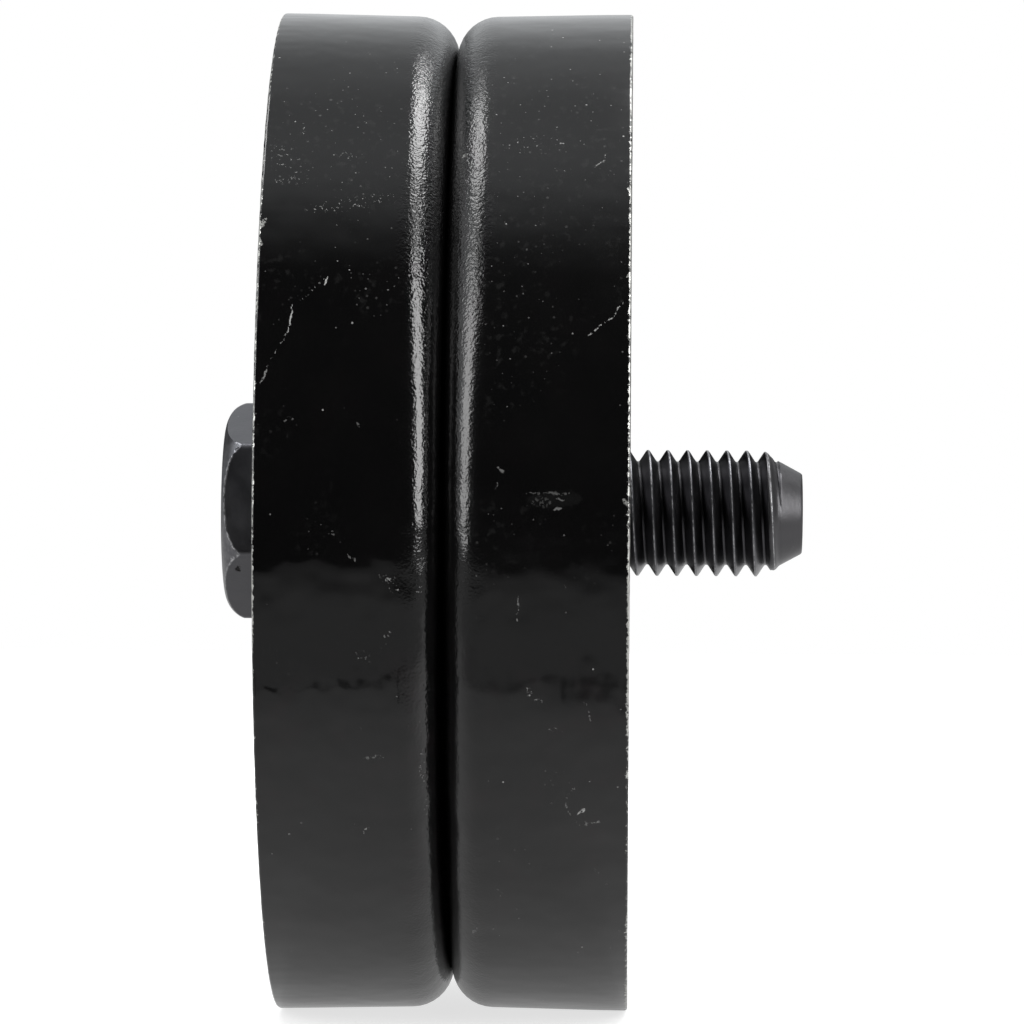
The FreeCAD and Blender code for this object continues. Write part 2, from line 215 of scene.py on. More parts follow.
# Marks on the near side, in millimetres along Y and Z: from, to, half width, how broken, how strong
SCRATCHES = [
    ((-6.78, 13.70), (-6.93, 13.20), 0.09, 0.40, 0.55),
    ((-7.05, 13.60), (-8.34, 12.25), 0.12, 0.58, 0.45),
    ((-8.78, 12.05), (-9.01, 10.35), 0.045, 0.38, 0.55),
    ((-8.97, 10.50), (-9.38, 9.76), 0.08, 0.52, 0.30),
    ((-9.36, 9.80), (-10.12, 8.66), 0.07, 0.54, 0.35),
    ((-10.15, 8.50), (-10.49, 7.34), 0.06, 0.48, 0.32),
    ((-8.26, 17.74), (-2.67, 18.57), 0.45, 0.62, 0.34),
    ((-10.24, 21.47), (-8.34, 19.47), 0.90, 0.63, 0.26),
    ((-10.10, 19.50), (-8.70, 19.75), 0.30, 0.58, 0.26),
    ((-8.60, 22.90), (-8.57, 22.35), 0.12, 0.52, 0.50),
    ((-6.83, 21.29), (-5.39, 20.98), 0.25, 0.60, 0.45),
    ((-9.10, 5.15), (-8.62, 5.45), 0.16, 0.52, 0.16),
    ((-4.95, 5.15), (-4.70, 4.85), 0.10, 0.48, 0.14),
    ((-6.25, -1.15), (-6.13, -1.55), 0.09, 0.48, 0.16),
    ((-5.45, -2.50), (-4.85, -2.95), 0.10, 0.50, 0.18),
    ((-3.40, -3.67), (-2.47, -4.60), 0.45, 0.60, 0.34),
    ((-3.00, -6.93), (-3.35, -7.99), 0.22, 0.60, 0.30),
    ((-4.87, -8.24), (-4.06, -8.70), 0.35, 0.55, 0.12),
    ((-4.54, -14.46), (-3.42, -14.39), 0.17, 0.50, 0.20),
    ((-4.71, -19.03), (-4.46, -18.65), 0.07, 0.44, 0.45),
    ((8.50, 10.25), (9.10, 10.84), 0.06, 0.42, 0.40),
    ((9.02, 10.78), (9.95, 11.43), 0.06, 0.48, 0.45),
    ((9.90, 11.36), (10.42, 12.28), 0.055, 0.44, 0.45),
    ((8.78, 20.49), (9.31, 20.90), 0.07, 0.50, 0.30),
    ((9.31, 20.80), (9.42, 21.25), 0.06, 0.46, 0.30),
    ((3.34, 21.79), (7.03, 21.93), 0.60, 0.64, 0.30),
    ((3.27, 2.70), (3.65, 2.17), 0.10, 0.46, 0.20),
    ((3.12, 1.32), (3.30, 1.62), 0.08, 0.46, 0.16),
    ((5.12, 1.09), (7.40, 1.05), 0.12, 0.46, 0.12),
    ((5.30, 0.62), (6.35, 0.58), 0.40, 0.50, 0.06),
    ((5.20, 0.70), (8.10, 0.80), 0.70, 0.30, 0.006),
    ((6.70, 0.80), (7.23, 0.76), 0.07, 0.40, 0.16),
    ((6.52, 0.16), (7.05, 0.28), 0.13, 0.40, 0.22),
    ((6.98, -1.36), (7.22, -1.28), 0.09, 0.42, 0.14),
    ((4.51, -4.90), (4.45, -6.42), 0.07, 0.54, 0.25),
    ((6.71, -4.54), (7.35, -3.95), 0.25, 0.60, 0.26),
    ((5.10, -10.29), (5.91, -11.17), 0.28, 0.60, 0.34),
    ((6.32, -12.65), (6.79, -12.82), 0.14, 0.52, 0.30),
    ((8.31, -10.62), (8.78, -12.27), 0.08, 0.54, 0.20),
    ((7.82, -16.08), (7.36, -16.65), 0.09, 0.50, 0.22),
    ((7.38, -16.58), (7.25, -17.25), 0.07, 0.48, 0.22),
    ((7.24, -17.18), (7.58, -17.80), 0.08, 0.50, 0.22),
    ((7.98, -17.72), (8.36, -17.49), 0.10, 0.40, 0.75),
    ((7.90, -18.50), (8.61, -18.31), 0.24, 0.56, 0.24),
    ((8.58, -18.32), (9.58, -18.17), 0.08, 0.52, 0.32),
    ((8.95, -21.15), (9.29, -21.44), 0.09, 0.46, 0.30),
    ((3.24, -22.49), (3.53, -23.00), 0.14, 0.54, 0.24),
    ((1.54, -25.39), (2.04, -24.98), 0.14, 0.52, 0.24),
    ((-1.34, -11.69), (-0.95, -17.95), 0.16, 0.60, 0.34),
]
CHIPS = [
    ((-10.94, 16.60), (-10.55, 17.20), 0.15, 0.44, 0.6),
    ((-10.88, 16.05), (-10.78, 15.45), 0.14, 0.46, 0.6),
    ((-10.97, 12.30), (-10.90, 11.60), 0.10, 0.50, 0.6),
    ((10.70, 19.22), (10.95, 18.86), 0.11, 0.44, 0.8),
    ((10.70, 13.68), (10.92, 14.02), 0.10, 0.44, 0.7),
    ((10.56, 0.77), (10.90, 0.38), 0.15, 0.42, 0.8),
    ((10.92, -3.80), (10.93, -8.50), 0.10, 0.46, 0.8),
    ((10.92, -8.00), (10.93, -14.60), 0.11, 0.44, 0.8),
    ((0.80, 21.10), (1.20, 21.36), 0.10, 0.44, 0.5),
]
BOLT_NICKS = [
    ((-13.56, -3.50), (-13.46, -3.78), 0.22, 0.34, 1.0),
    ((-13.75, 3.75), (-13.55, 3.95), 0.07, 0.40, 0.7),
]


def add(tree, kind, inputs=(), **settings):
    """New node; each input is a value to set or an output to link."""
    node = tree.nodes.new(kind)
    for name, value in settings.items():
        setattr(node, name, value)
    for key, value in dict(inputs).items():
        if isinstance(value, bpy.types.NodeSocket):
            tree.links.new(value, node.inputs[key])
        else:
            node.inputs[key].default_value = value
    return node


def calc(tree, operation, *values):
    """Result of a Math node."""
    return add(tree, "ShaderNodeMath", enumerate(values), operation=operation).outputs[0]


def times(tree, first, second):
    """Product of two numbers."""
    return calc(tree, "MULTIPLY", first, second)


def times_plus(tree, first, second, extra):
    """Product of two numbers, plus a third."""
    return calc(tree, "MULTIPLY_ADD", first, second, extra)


def fade(tree, value, start, end):
    """Smooth step from 0 at start to 1 at end."""
    inputs = {"Value": value, "From Min": start, "From Max": end}
    return add(tree, "ShaderNodeMapRange", inputs, interpolation_type="SMOOTHSTEP").outputs["Result"]


def noise(tree, coords, size, detail=2.0, rough=0.5):
    """Noise with features of about the given size."""
    inputs = {"Vector": coords, "Scale": 1 / size, "Detail": detail, "Roughness": rough}
    return add(tree, "ShaderNodeTexNoise", inputs).outputs[0]


def stretched(tree, coords, factors):
    """Coordinates multiplied along each axis, which draws a pattern out along the smaller ones."""
    return add(tree, "ShaderNodeVectorMath", {0: coords, 1: factors}, operation="MULTIPLY").outputs[0]


def axes(tree, coords):
    """The three coordinates, each by itself."""
    return add(tree, "ShaderNodeSeparateXYZ", {0: coords}).outputs


def off_axis(tree, coords):
    """Distance from the pulley's axis."""
    flat = stretched(tree, coords, (1, 0, 1))
    return add(tree, "ShaderNodeVectorMath", {0: flat}, operation="LENGTH").outputs["Value"]


def about_axis(tree, radius, angle, along):
    """Place at a radius, an angle from +Z towards +X and a distance along Y."""
    across = times(tree, radius, calc(tree, "SINE", angle))
    up = times(tree, radius, calc(tree, "COSINE", angle))
    return add(tree, "ShaderNodeCombineXYZ", {0: across, 1: along, 2: up}).outputs[0]


def blended(tree, share, first, second):
    """Number between two others."""
    inputs = {"Factor": share, "A": first, "B": second}
    return add(tree, "ShaderNodeMix", inputs, data_type="FLOAT").outputs["Result"]


def tinted(tree, share, first, second):
    """Colour between two others; a plain colour is given as (r, g, b)."""
    node = add(tree, "ShaderNodeMix", {"Factor": share}, data_type="RGBA")
    colour_inputs = [socket for socket in node.inputs if socket.type == "RGBA"]
    for socket, colour in zip(colour_inputs, (first, second)):
        if isinstance(colour, bpy.types.NodeSocket):
            tree.links.new(colour, socket)
        else:
            socket.default_value = (*colour, 1)
    return [socket for socket in node.outputs if socket.type == "RGBA"][0]


def node_tree(name, inputs):
    """Geometry Nodes tree with named inputs; returns the tree, its input node and its output node."""
    tree = bpy.data.node_groups.new(name, "GeometryNodeTree")
    tree.interface.new_socket("Geometry", in_out="INPUT", socket_type="NodeSocketGeometry")
    for label, kind in inputs.items():
        tree.interface.new_socket(label, in_out="INPUT", socket_type="NodeSocket" + kind)
    tree.interface.new_socket("Geometry", in_out="OUTPUT", socket_type="NodeSocketGeometry")
    return tree, tree.nodes.new("NodeGroupInput").outputs, tree.nodes.new("NodeGroupOutput")


def row_and_column(tree, columns):
    """Row and column of each point of a grid."""
    index = add(tree, "GeometryNodeInputIndex").outputs[0]
    row = calc(tree, "FLOOR", calc(tree, "DIVIDE", calc(tree, "ADD", index, 0.5), columns))
    return row, calc(tree, "SUBTRACT", index, times(tree, row, columns))


def welded(tree, geometry):
    """Geometry with points that coincide made one."""
    inputs = {"Geometry": geometry, "Distance": WELD_GAP}
    return add(tree, "GeometryNodeMergeByDistance", inputs).outputs[0]


def end_tree(tree, geometry, given, result):
    """Ends a tree with real geometry in the given material."""
    real = add(tree, "GeometryNodeRealizeInstances", {"Geometry": geometry}).outputs[0]
    inputs = {"Geometry": real, "Material": given["Material"]}
    tree.links.new(add(tree, "GeometryNodeSetMaterial", inputs).outputs[0], result.inputs[0])


def grown(name, start_mesh, tree, values):
    """Plain mesh object that a node tree makes from a start mesh and the given inputs."""
    piece = bpy.data.objects.new(name, start_mesh)
    bpy.context.scene.collection.objects.link(piece)
    modifier = piece.modifiers.new("shape", "NODES")
    modifier.node_group = tree
    for item in tree.interface.items_tree:
        if item.in_out == "INPUT" and item.name in values:
            modifier[item.identifier] = values[item.name]
    made = piece.evaluated_get(bpy.context.evaluated_depsgraph_get())
    mesh = bpy.data.meshes.new_from_object(made)
    piece.modifiers.remove(modifier)
    mesh.materials.clear()
    mesh.materials.append(values["Material"])
    piece.data = mesh
    return piece


def closed_and_smooth(mesh):
    """Welds seams and poles, points the faces outwards and shades all but sharp edges smooth."""
    work = bmesh.new()
    work.from_mesh(mesh)
    bmesh.ops.remove_doubles(work, verts=work.verts, dist=WELD_GAP)
    bmesh.ops.dissolve_degenerate(work, edges=work.edges, dist=WELD_GAP)
    loose = [edge for edge in work.edges if not edge.link_faces]
    bmesh.ops.delete(work, geom=loose, context="EDGES")
    bmesh.ops.recalc_face_normals(work, faces=work.faces)
    work.to_mesh(mesh)
    work.free()
    mesh.shade_smooth()
    mesh.set_sharp_from_angle(angle=SMOOTH_BELOW)


def section_mesh(corners):
    """Closed outline from corners (radius, y) or (radius, y, rounding), with points along its sides."""
    count = len(corners)
    places = [Vector((corner[0], corner[1], 0)) for corner in corners]
    roundings = [corner[2] if len(corner) == 3 else 0 for corner in corners]
    reaches = []
    for i, place in enumerate(places):
        corner_angle = (places[i - 1] - place).angle(places[(i + 1) % count] - place)
        reaches.append(roundings[i] / math.tan(corner_angle / 2))
    points = []
    rounding_values = []
    for i, place in enumerate(places):
        points.append(place)
        rounding_values.append(roundings[i])
        side = places[(i + 1) % count] - place
        start = reaches[i] + SUPPORT_GAP
        end = side.length - reaches[(i + 1) % count] - SUPPORT_GAP
        if end > start:
            steps = max(1, round((end - start) / SIDE_STEP))
            for k in range(steps + 1):
                points.append(place + side.normalized() * (start + (end - start) * k / steps))
                rounding_values.append(0)
    mesh = bpy.data.meshes.new("section")
    mesh.from_pydata(points, [(i, (i + 1) % len(points)) for i in range(len(points))], [])
    mesh.attributes.new("rounding", "FLOAT", "POINT").data.foreach_set("value", rounding_values)
    return mesh


def turning_tree():
    """Turns an outline about Y; burrs eat into whatever lies beyond a distance from the middle plane."""
    tree, given, result = node_tree("turning", {
        "Segments": "Int", "Arc Steps": "Int", "Burr": "Float", "Burr Size": "Float", "Burr From": "Float",
        "Material": "Material",
    })
    rounding = add(tree, "GeometryNodeInputNamedAttribute", {"Name": "rounding"}, data_type="FLOAT")
    outline = add(tree, "GeometryNodeMeshToCurve", {"Mesh": given["Geometry"]}).outputs[0]
    rounded = add(tree, "GeometryNodeFilletCurve", {
        "Curve": outline, "Count": given["Arc Steps"], "Radius": rounding.outputs[0],
        "Limit Radius": False,
    }, mode="POLY").outputs[0]
    size = add(tree, "GeometryNodeAttributeDomainSize", {"Geometry": rounded}, component="CURVE")
    count = size.outputs["Point Count"]
    columns = calc(tree, "ADD", given["Segments"], 1)
    rows = calc(tree, "ADD", count, 1)
    grid = add(tree, "GeometryNodeMeshGrid", {"Vertices X": rows, "Vertices Y": columns}).outputs[0]

    row, column = row_and_column(tree, columns)
    angle = times(tree, calc(tree, "DIVIDE", column, given["Segments"]), FULL_TURN)
    sampled = add(tree, "GeometryNodeSampleIndex", {
        "Geometry": rounded,
        "Value": add(tree, "GeometryNodeInputPosition").outputs[0],
        "Index": calc(tree, "MODULO", row, count),
    }, data_type="FLOAT_VECTOR").outputs[0]
    split = axes(tree, sampled)
    plain = about_axis(tree, split[0], angle, split[1])
    scale = calc(tree, "DIVIDE", 1, given["Burr Size"])
    beyond = fade(tree, calc(tree, "ABSOLUTE", split[1]), given["Burr From"], RIM_FACE)

    def bite(shift):
        place = add(tree, "ShaderNodeVectorMath", {0: plain, 1: shift}).outputs[0]
        inputs = {"Vector": place, "Scale": scale, "Detail": 3.0}
        rough = add(tree, "ShaderNodeTexNoise", inputs).outputs[0]
        return times(tree, times(tree, rough, beyond), given["Burr"])

    radius = calc(tree, "SUBTRACT", split[0], bite((0, 0, 0)))
    inwards = times(tree, calc(tree, "SIGN", split[1]), bite((0.1, 0.2, 0.3)))
    along = calc(tree, "SUBTRACT", split[1], inwards)
    place = about_axis(tree, radius, angle, along)
    shaped = add(tree, "GeometryNodeSetPosition", {"Geometry": grid, "Position": place}).outputs[0]
    end_tree(tree, welded(tree, shaped), given, result)
    return tree


def ring_tree():
    """Sets copies of a piece on a circle about Y; angles run from +Z towards +X."""
    tree, given, result = node_tree("ring of copies", {
        "Count": "Int", "Circle": "Float", "Material": "Material",
    })
    index = add(tree, "GeometryNodeInputIndex").outputs[0]
    angle = times(tree, calc(tree, "DIVIDE", index, given["Count"]), FULL_TURN)
    place = about_axis(tree, given["Circle"], angle, 0)
    points = add(tree, "GeometryNodePoints", {"Count": given["Count"], "Position": place}).outputs[0]
    turn = add(tree, "ShaderNodeCombineXYZ", {1: angle}).outputs[0]
    copies = add(tree, "GeometryNodeInstanceOnPoints", {
        "Points": points, "Instance": given["Geometry"], "Rotation": turn,
    }).outputs[0]
    end_tree(tree, copies, given, result)
    return tree


def thread_tree():
    """Right-hand thread on Y, from plain shank to conical point, as a grid that follows the helix."""
    tree, given, result = node_tree("rolled thread", {
        "Columns": "Int", "Rows per Turn": "Int", "Rows": "Int", "First Angle": "Float", "Base": "Float",
        "Pitch": "Float", "Crest Radius": "Float", "Root Radius": "Float", "Crest Width": "Float",
        "Root Width": "Float", "Shank Radius": "Float", "Start": "Float", "Run In": "Float", "Tip": "Float",
        "Point Radius": "Float", "Point Slope": "Float", "Tip Chamfer": "Float", "Last Crest": "Float",
        "Material": "Material",
    })
    columns = calc(tree, "ADD", given["Columns"], 1)
    grid_size = {"Vertices X": given["Rows"], "Vertices Y": columns}
    grid = add(tree, "GeometryNodeMeshGrid", grid_size).outputs[0]
    row, column = row_and_column(tree, columns)
    turns = calc(tree, "DIVIDE", row, given["Rows per Turn"])
    swept = times(tree, calc(tree, "DIVIDE", column, given["Columns"]), FULL_TURN)
    angle = calc(tree, "ADD", given["First Angle"], swept)
    climb = calc(tree, "ADD", turns, calc(tree, "DIVIDE", angle, FULL_TURN))
    free = calc(tree, "ADD", given["Base"], times(tree, climb, given["Pitch"]))
    along = calc(tree, "MINIMUM", calc(tree, "MAXIMUM", free, given["Start"]), given["Tip"])

    phase = calc(tree, "FRACT", calc(tree, "ADD", turns, 0.5))
    off_crest = calc(tree, "ABSOLUTE", calc(tree, "SUBTRACT", phase, 0.5))
    from_crest = times(tree, off_crest, given["Pitch"])
    half_crest = calc(tree, "DIVIDE", given["Crest Width"], 2)
    half_root = calc(tree, "DIVIDE", given["Root Width"], 2)
    half_pitch = calc(tree, "DIVIDE", given["Pitch"], 2)
    flank = add(tree, "ShaderNodeMapRange", {
        "Value": from_crest,
        "From Min": half_crest,
        "From Max": calc(tree, "SUBTRACT", half_pitch, half_root),
        "To Min": given["Crest Radius"],
        "To Max": given["Root Radius"],
    }).outputs["Result"]
    fall = fade(tree, from_crest, 0, half_pitch)
    eased = blended(tree, fall, given["Crest Radius"], given["Root Radius"])
    flank = blended(tree, FLANK_EASING, flank, eased)
    share = fade(tree, along, given["Start"], calc(tree, "ADD", given["Start"], given["Run In"]))
    cut = blended(tree, share, given["Shank Radius"], flank)
    left = calc(tree, "SUBTRACT", given["Tip"], along)
    cone = calc(tree, "ADD", given["Point Radius"], times(tree, left, given["Point Slope"]))
    end_radius = calc(tree, "SUBTRACT", given["Point Radius"], given["Tip Chamfer"])
    chamfer = calc(tree, "ADD", end_radius, left)
    above_root = fade(tree, calc(tree, "SUBTRACT", cone, given["Root Radius"]), -0.05 * MM, 0.2 * MM)
    off_foot = calc(tree, "ABSOLUTE", calc(tree, "SUBTRACT", from_crest, LAST_FOOT))
    foot = fade(tree, off_foot, LAST_FOOT_WIDTH, 0)
    swell = fade(tree, from_crest, 0.32 * MM, 0.05 * MM)
    swell = times_plus(tree, foot, -LAST_FOOT_DEPTH, swell)
    last_crest = times(tree, times(tree, swell, above_root), given["Last Crest"])
    limit = calc(tree, "ADD", cone, last_crest)
    stem = calc(tree, "MINIMUM", cut, calc(tree, "MINIMUM", limit, chamfer))
    last = calc(tree, "LESS_THAN", row, calc(tree, "SUBTRACT", given["Rows"], 1.5))
    radius = times(tree, stem, last)

    place = about_axis(tree, radius, angle, along)
    shaped = add(tree, "GeometryNodeSetPosition", {"Geometry": grid, "Position": place}).outputs[0]
    before_point = fade(tree, calc(tree, "SUBTRACT", limit, cut), 0.0, 0.06 * MM)
    threaded = times(tree, share, before_point)
    # rubbed crests: worn oxide, lightened also as a painted highlight line
    rub_from = times(tree, half_crest, 1.2)
    rubbed_and_highlit = fade(tree, from_crest, rub_from, times(tree, half_crest, 0.3))
    groove = fade(tree, from_crest, half_crest, times(tree, half_crest, 2.4))
    marked = shaped
    for label, value in {
        "rubbed_and_highlit": times(tree, rubbed_and_highlit, times(tree, share, above_root)),
        "groove": times(tree, groove, threaded),
        "point": calc(tree, "SUBTRACT", 1, before_point),
    }.items():
        marked = add(tree, "GeometryNodeStoreNamedAttribute", {
            "Geometry": marked, "Name": label, "Value": value,
        }, data_type="FLOAT").outputs[0]
    end_tree(tree, welded(tree, marked), given, result)
    return tree


def new_material(name, constants):
    """Material with constant shader values; returns it, its tree, its shader and Object coordinates."""
    material = bpy.data.materials.new(name)
    material.use_nodes = True
    tree = material.node_tree
    shader = tree.nodes["Principled BSDF"]
    for socket, value in constants.items():
        shader.inputs[socket].default_value = value
    return material, tree, shader, add(tree, "ShaderNodeTexCoord").outputs["Object"]


def bumped(tree, shader, height):
    """Gives the shader a surface relief, whose height is in metres."""
    bump = add(tree, "ShaderNodeBump", {"Height": height, "Distance": 1.0, "Strength": 1.0})
    tree.links.new(bump.outputs[0], shader.inputs["Normal"])


def specks(tree, coords, spacing, share, reach):
    """Scattered spots of uneven strength: one in some of the cells of a Voronoi pattern."""
    cells = add(tree, "ShaderNodeTexVoronoi", {"Vector": coords, "Scale": 1 / spacing})
    lot = add(tree, "ShaderNodeSeparateColor", {0: cells.outputs["Color"]}).outputs
    chosen = calc(tree, "LESS_THAN", lot[0], share)
    limit = times(tree, lot[1], reach)
    spot = fade(tree, cells.outputs["Distance"], limit, times(tree, limit, 0.4))
    return times(tree, spot, times(tree, lot[2], chosen))


def wandered(tree, coords, size, reach):
    """Coordinates pushed about by noise, so that what is drawn on them wavers."""
    push = add(tree, "ShaderNodeTexNoise", {"Vector": coords, "Scale": 1 / size}).outputs["Color"]
    inputs = {0: push, 1: (0.5, 0.5, 0.5)}
    centred = add(tree, "ShaderNodeVectorMath", inputs, operation="SUBTRACT").outputs[0]
    inputs = {0: centred, 1: (reach, reach, reach), 2: coords}
    return add(tree, "ShaderNodeVectorMath", inputs, operation="MULTIPLY_ADD").outputs[0]


def scratch_group():
    """Broken, tapered stroke on the viewer's side, between two points of the YZ plane."""
    tree = bpy.data.node_groups.new("scratch", "ShaderNodeTree")
    for label, kind in {
        "Coords": "Vector", "Grain": "Float", "From": "Vector", "To": "Vector", "Half Width": "Float",
        "Broken": "Float", "Strength": "Float",
    }.items():
        tree.interface.new_socket(label, in_out="INPUT", socket_type="NodeSocket" + kind)
    tree.interface.new_socket("Mark", in_out="OUTPUT", socket_type="NodeSocketFloat")
    given = tree.nodes.new("NodeGroupInput").outputs
    result = tree.nodes.new("NodeGroupOutput")

    def vector(operation, *values):
        return add(tree, "ShaderNodeVectorMath", enumerate(values), operation=operation)

    flat = vector("MULTIPLY", given["Coords"], (0, 1, 1)).outputs[0]
    run = vector("SUBTRACT", given["To"], given["From"]).outputs[0]
    away = vector("SUBTRACT", flat, given["From"]).outputs[0]
    reach = calc(tree, "DIVIDE", vector("DOT_PRODUCT", away, run).outputs["Value"],
                 vector("DOT_PRODUCT", run, run).outputs["Value"])
    held = add(tree, "ShaderNodeClamp", {"Value": reach}).outputs[0]
    nearest = add(tree, "ShaderNodeVectorMath", {0: run, "Scale": held}, operation="SCALE").outputs[0]
    gap = vector("DISTANCE", away, nearest).outputs["Value"]
    inward = times(tree, held, calc(tree, "SUBTRACT", 1, held))
    taper = times_plus(tree, calc(tree, "SQRT", inward), 1.4, 0.3)
    uneven = times(tree, taper, times_plus(tree, given["Grain"], 1.2, 0.4))
    half_width = times(tree, given["Half Width"], uneven)
    line = fade(tree, gap, half_width, times(tree, half_width, 0.2))
    near_side = calc(tree, "GREATER_THAN", axes(tree, given["Coords"])[0], 0)
    shown = fade(tree, given["Grain"], given["Broken"], calc(tree, "ADD", given["Broken"], 0.07))
    mark = times(tree, times(tree, line, near_side), shown)
    tree.links.new(times(tree, mark, given["Strength"]), result.inputs[0])
    return tree


def strokes(tree, group, coords, grain, marks):
    """Strongest of a list of broken strokes; places and half widths are in millimetres."""
    strongest = None
    for start, end, half_width, broken, strength in marks:
        stroke = add(tree, "ShaderNodeGroup", {}, node_tree=group)
        tree.links.new(coords, stroke.inputs["Coords"])
        tree.links.new(grain, stroke.inputs["Grain"])
        stroke.inputs["From"].default_value = (0, start[0] * MM, start[1] * MM)
        stroke.inputs["To"].default_value = (0, end[0] * MM, end[1] * MM)
        stroke.inputs["Half Width"].default_value = half_width * MM
        stroke.inputs["Broken"].default_value = broken
        stroke.inputs["Strength"].default_value = strength
        mark = stroke.outputs[0]
        strongest = mark if strongest is None else calc(tree, "MAXIMUM", strongest, mark)
    return strongest


def black_paint(scratch):
    """Thick black paint: pebbled shoulders, sagging waves, rubbed edges, dust and scuffs."""
    material, tree, shader, coords = new_material("black_paint", {"IOR": 1.5})
    split = axes(tree, coords)
    height = split[2]
    from_middle = calc(tree, "ABSOLUTE", split[1])
    radius = off_axis(tree, coords)
    outside = fade(tree, radius, RIM_RADIUS - 4.5 * MM, RIM_RADIUS - 3.5 * MM)

    # relief
    shoulder = times(tree, fade(tree, from_middle, 3.2 * MM, 1.6 * MM), outside)
    uneven = times_plus(tree, noise(tree, coords, 4 * MM, 2.0), 9 * MM, height)
    below_top = fade(tree, height, 30 * MM, 27.5 * MM)
    coarse = times(tree, fade(tree, uneven, 12 * MM, 20 * MM), below_top)
    pebble_depth = times_plus(tree, coarse, COARSER_PEBBLES, PEBBLES)
    pebble_depth = times(tree, pebble_depth, shoulder)
    fine_pebbles = noise(tree, coords, 0.17 * MM, 1.0)
    pebbles = times_plus(tree, noise(tree, coords, 0.45 * MM, 1.0), 0.6, fine_pebbles)
    rise = times(tree, pebbles, pebble_depth)
    long_waves = noise(tree, stretched(tree, coords, (1, 0.55, 1)), 4.5 * MM, 1.0, 0.4)
    short_waves = noise(tree, coords, 2.2 * MM, 1.0, 0.4)
    waves = calc(tree, "SUBTRACT", times_plus(tree, short_waves, 0.7, long_waves), 0.85)
    above_bottom = fade(tree, height, -27 * MM, -17 * MM)
    sagged = times(tree, fade(tree, height, 4 * MM, -2 * MM), above_bottom)
    wave_depth = times_plus(tree, sagged, SAGGED_WAVES, WAVES)
    rise = times_plus(tree, waves, wave_depth, rise)
    rise = times_plus(tree, noise(tree, coords, 0.7 * MM, 1.0), ORANGE_PEEL, rise)

    # scuffs and dust
    grain = noise(tree, coords, 0.2 * MM, 2.0, 0.6)
    drawn = wandered(tree, coords, 0.5 * MM, 0.4 * MM)
    scratches = strokes(tree, scratch, drawn, grain, SCRATCHES)
    on_right = fade(tree, split[1], -1 * MM, 1 * MM)
    dusty = times_plus(tree, on_right, 0.45, 0.55)
    dusty = times(tree, fade(tree, height, 6 * MM, 18 * MM), dusty)
    dust_share = times_plus(tree, dusty, 0.45, 0.35)
    dust = times(tree, specks(tree, coords, 0.75 * MM, dust_share, 0.12), 0.6)
    fine_dust = times(tree, specks(tree, coords, 0.36 * MM, 0.6, 0.2), 0.3)
    soft_dust = times(tree, specks(tree, coords, 0.55 * MM, 0.9, 0.24), 0.07)
    fine_dust = calc(tree, "MAXIMUM", fine_dust, soft_dust)
    settled = times_plus(tree, dusty, 0.3, noise(tree, coords, 6 * MM, 2.0))
    patches = fade(tree, settled, 0.54, 0.70)
    dust = calc(tree, "MAXIMUM", dust, times(tree, fine_dust, patches))
    smudge = fade(tree, noise(tree, coords, 0.5 * MM, 2.0), 0.56, 0.74)
    smudge = times(tree, smudge, patches)
    dust = times_plus(tree, smudge, 0.010, dust)
    exposed = times(tree, fade(tree, from_middle, 1.4 * MM, 2.4 * MM), outside)
    scuffed = calc(tree, "MAXIMUM", scratches, times(tree, dust, exposed))

    # bare steel along the rubbed edges and in the chips
    jagged = noise(tree, coords, 0.3 * MM, 3.0, 0.7)
    bite = times_plus(tree, on_right, 0.16 * MM, 0.34 * MM)
    bitten = times_plus(tree, calc(tree, "SUBTRACT", jagged, 0.25), bite, from_middle)
    edge = fade(tree, bitten, RIM_FACE - 0.05 * MM, RIM_FACE - 0.01 * MM)
    exposed_edge = calc(tree, "ADD", on_right, fade(tree, height, -9 * MM, -5 * MM))
    rub = noise(tree, coords, 0.4 * MM, 3.0, 0.7)
    rub = times_plus(tree, noise(tree, coords, 8 * MM, 2.0), 0.8, rub)
    rub = times_plus(tree, exposed_edge, 0.13, rub)
    outward = times_plus(tree, rub, 1.2 * MM, radius)
    corner = fade(tree, outward, RIM_RADIUS, RIM_RADIUS + 0.6 * MM)
    worn = times(tree, times(tree, edge, fade(tree, rub, 0.95, 1.08)), corner)
    chips = strokes(tree, scratch, drawn, grain, CHIPS)
    bare = calc(tree, "MAXIMUM", worn, chips)
    rise = times_plus(tree, bare, -PAINT_THICKNESS, rise)

    tone = noise(tree, coords, 5 * MM, 4.0, 0.6)
    brownish = fade(tree, noise(tree, coords, 2.6 * MM, 4.0, 0.65), 0.48, 0.68)
    low_down = times_plus(tree, fade(tree, height, -6 * MM, -13 * MM), 0.55, 0.05)
    paint = tinted(tree, tone, PAINT_DEEP, PAINT_FADED)
    paint = tinted(tree, times(tree, brownish, low_down), paint, PAINT_BROWNISH)
    dusted = tinted(tree, scuffed, paint, PAINT_DUST)
    steel = tinted(tree, noise(tree, coords, 0.3 * MM), BARE_DARK, BARE_LIGHT)
    tree.links.new(tinted(tree, bare, dusted, steel), shader.inputs["Base Color"])
    tree.links.new(times(tree, bare, 0.8), shader.inputs["Metallic"])
    rough = blended(tree, tone, 0.06, 0.14)
    rough = times_plus(tree, on_right, 0.05, rough)
    rough = times_plus(tree, shoulder, 0.04, rough)
    rough = blended(tree, scuffed, rough, 0.6)
    tree.links.new(blended(tree, bare, rough, 0.36), shader.inputs["Roughness"])
    bumped(tree, shader, rise)
    return material


